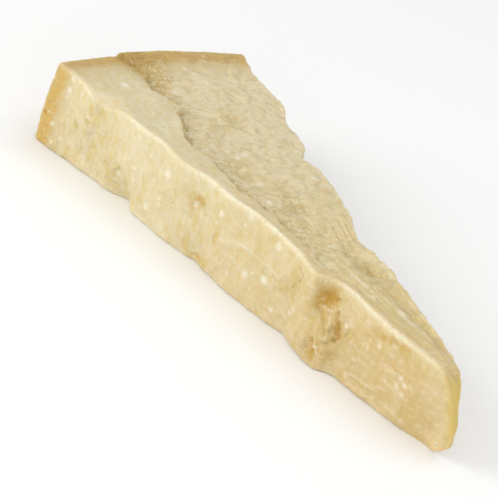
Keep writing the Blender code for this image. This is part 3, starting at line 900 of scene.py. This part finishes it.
def with_crumbs(s, f, paste):
    """Pale and dark crumbs, with painted shade in the gaps between them and in the pits, where the
    surface is rough.
    """
    paste = s.mix(s.times(s.step(f.crumb, 0.50, 0.75), f.crumbly), paste, GRANULE)
    paste = s.mix(s.times(s.step(f.crumb, 0.46, 0.24), f.crumbly), paste, OLIVE_PASTE)
    # Painted shade in the gaps between crumbs and in the pits
    paste = s.mix(s.times(f.gap, s.times(f.crumbly, 0.2)), paste, PIT_SHADE)
    return s.mix(s.times(f.pit, 0.6), paste, PIT_SHADE)


def with_browning(s, f, paste):
    """Brown in the hollows and creases, and painted shade in brown along the crevice below the shelf's
    edge.
    """
    grainy = s.times(s.step(f.fine, 0.3, 0.7, -1.0, 1.0), s.step(f.crumbly, 0.0, 0.8, 0.2, 0.75))
    brown_and_shade_share = s.plus(f.brown, grainy, s.step(f.medium, 0.3, 0.7, -0.14, 0.14))
    paste = s.mix(s.step(brown_and_shade_share, 0.10, 0.80), paste, s.mix(f.top, BROWN, BROWN_CRUMBS))
    return s.mix(s.step(brown_and_shade_share, 0.90, 1.30, 0.0, 0.8), paste, DEEP_BROWN)


def with_rind(s, f, paste):
    """The tan rind, darker and speckled, and the drier paste below it."""
    depth = s.plus(f.rind_depth, s.step(f.medium, 0.25, 0.75, -1.8, 1.8))
    paste = s.mix(s.step(depth, 21.0, 4.0, 0.0, 0.95), paste, UNDER_RIND)
    rind = s.mix(f.top, RIND_INNER, RIND_TOP)
    rind = s.mix(s.step(f.curd, 0.48, 0.66, 0.0, 0.7), rind, RIND_PALE)
    speckled = s.times(s.step(f.fine, 0.50, 0.66), s.step(f.top, 0.0, 1.0, 0.5, 0.9))
    rind = s.mix(speckled, rind, RIND_SPECK)
    outer = s.mix(s.step(f.medium, 0.42, 0.62, 0.0, 0.7), RIND_OUTER, RIND_WORN)
    outer = s.mix(s.step(f.fine, 0.55, 0.72, 0.0, 0.5), outer, RIND_INNER)
    rind = s.mix(s.step(depth, 3.0, 0.8), rind, outer)
    return s.mix(s.step(depth, 9.2, 4.6, 0.0, 0.95), paste, rind)


def with_marks(s, f, paste):
    """The painted highlight along the ridge, crystals, hairline cracks and the lips of flakes."""
    # Painted highlight: a pale line along the ridge, broken up by fine noise
    ridge_wear_and_highlight = s.times(f.ridge, s.step(f.fine, 0.36, 0.56, 0.3, 0.95))
    paste = s.mix(ridge_wear_and_highlight, paste, HIGHLIGHT_AND_PALE_LIP)
    crystal = s.plus(f.crystal, s.step(f.fine, 0.3, 0.7, -0.45, 0.45))
    paste = s.mix(s.step(crystal, 0.9, -1.2, 0.0, 0.75), paste, CRYSTAL)
    paste = s.mix(s.times(f.crack, 0.5), paste, BROWN)
    return s.mix(s.times(f.flake_lip, 0.4), paste, HIGHLIGHT_AND_PALE_LIP)


def fine_relief(s, f):
    """Height of the relief that is finer than the mesh, in millimetres."""
    return s.plus(
        s.times(f.grain, s.step(f.rough, 0.1, 1.0, 0.04, 0.12)),
        s.times(f.fine, s.step(f.rough, 0.1, 1.0, 0.14, 0.40)),
        s.times(f.curd, 0.15),
        s.times(f.streak, s.times(f.cracked, 0.2)),
        s.times(f.stroke, s.step(f.top, 0.0, 1.0, 0.12, 0.0)),
        s.times(f.crumb, s.times(f.crumbly, 0.3)),
        s.times(f.gap, s.times(f.crumbly, -0.12)),
        s.times(f.pit, -0.3),
        s.times(f.flake_lip, 0.15),
        s.times(f.crack, -0.2),
    )


def cheese_material():
    """Waxy, translucent paste with crystals, browner hollows and a tan rind."""
    s = Shader("aged_cheese")
    f = Surface(s)
    frayed = s.step(f.fine, 0.3, 0.7, -0.15, 0.3)
    f.crack = s.step(s.plus(f.hairline, frayed), 0.4, 0.1)
    f.flake_lip = s.step(s.plus(f.lip, frayed), 0.7, 0.1)

    paste = s.mix(s.step(f.cracked, 0.0, 1.0, 0.0, 0.95), cut_paste(s, f), broken_paste(s, f))
    paste = with_crumbs(s, f, paste)
    paste = with_rind(s, f, paste)
    paste = with_browning(s, f, paste)
    paste = s.mix(s.times(f.tip_end, 0.85), paste, TIP_YELLOW)
    paste = with_marks(s, f, paste)
    bump = s.node(
        "ShaderNodeBump", {"Height": fine_relief(s, f), "Distance": MM, "Strength": 1.0})

    s.put(s.surface.inputs["Base Color"], paste)
    s.put(s.surface.inputs["Roughness"], s.step(f.rough, 0.1, 1.0, 0.48, 0.65))
    s.put(s.surface.inputs["Normal"], bump)
    s.put(s.surface.inputs["Subsurface Weight"], s.step(f.rough, 0.1, 1.0, 0.7, 0.4))
    s.surface.inputs["IOR"].default_value = 1.45
    s.surface.inputs["Subsurface Radius"].default_value = (1.0, 0.62, 0.30)
    s.surface.inputs["Subsurface Scale"].default_value = 1.8 * MM
    return s.material


def plain_material(name, colour, roughness):
    """One plain colour, for the floor."""
    s = Shader(name)
    s.put(s.surface.inputs["Base Color"], colour)
    s.surface.inputs["Roughness"].default_value = roughness
    return s.material


def make_floor():
    """A plain pale floor that the chunk lies on."""
    mesh = bpy.data.meshes.new("floor")
    half = FLOOR_SIZE / 2.0
    corners = [(-half, -half, 0.0), (half, -half, 0.0), (half, half, 0.0), (-half, half, 0.0)]
    mesh.from_pydata(corners, [], [(0, 1, 2, 3)])
    mesh.materials.append(plain_material("floor", (0.93, 0.93, 0.93), 0.7))
    floor = bpy.data.objects.new("floor", mesh)
    bpy.context.scene.collection.objects.link(floor)


def make_lights():
    """A pale surround and large soft lights."""
    world = bpy.data.worlds.new("surround")
    world.use_nodes = True
    background = world.node_tree.nodes["Background"]
    background.inputs["Color"].default_value = (1.0, 1.0, 1.0, 1.0)
    background.inputs["Strength"].default_value = WORLD_STRENGTH
    bpy.context.scene.world = world
    for name, (direction, distance, size, power, colour) in LIGHTS.items():
        light = bpy.data.lights.new(name, "AREA")
        light.shape = "DISK"
        light.size = size
        light.energy = power
        light.color = colour
        lamp = bpy.data.objects.new(name, light)
        away = Vector(direction).normalized()
        lamp.location = away * distance
        lamp.rotation_mode = "QUATERNION"
        lamp.rotation_quaternion = away.to_track_quat("Z", "Y")
        lamp.visible_camera = False
        bpy.context.scene.collection.objects.link(lamp)


def make_camera():
    """The camera that took the photograph."""
    level = math.cos(CAMERA_ELEVATION)
    back = Vector((
        math.sin(CAMERA_AZIMUTH) * level, -math.cos(CAMERA_AZIMUTH) * level,
        math.sin(CAMERA_ELEVATION),
    ))
    side = Vector((math.cos(CAMERA_AZIMUTH), math.sin(CAMERA_AZIMUTH), 0.0))
    upright = back.cross(side)
    right = math.cos(CAMERA_ROLL) * side + math.sin(CAMERA_ROLL) * upright
    up = math.cos(CAMERA_ROLL) * upright - math.sin(CAMERA_ROLL) * side
    data = bpy.data.cameras.new("camera")
    data.lens = CAMERA_LENS
    data.sensor_width = SENSOR_WIDTH
    data.clip_start = 0.01
    camera = bpy.data.objects.new("camera", data)
    turn = Matrix((right, up, back)).transposed().to_4x4()
    camera.matrix_world = Matrix.Translation(CAMERA_TARGET + back * CAMERA_DISTANCE) @ turn
    bpy.context.scene.collection.objects.link(camera)
    bpy.context.scene.camera = camera


def main():
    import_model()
    scene = bpy.context.scene
    scene.view_settings.view_transform = "Standard"
    cheese = make_cheese()
    cheese.data.materials.append(cheese_material())
    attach(cheese, "root")
    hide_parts("cheese_chunk")
    make_floor()
    make_lights()
    make_camera()


main()
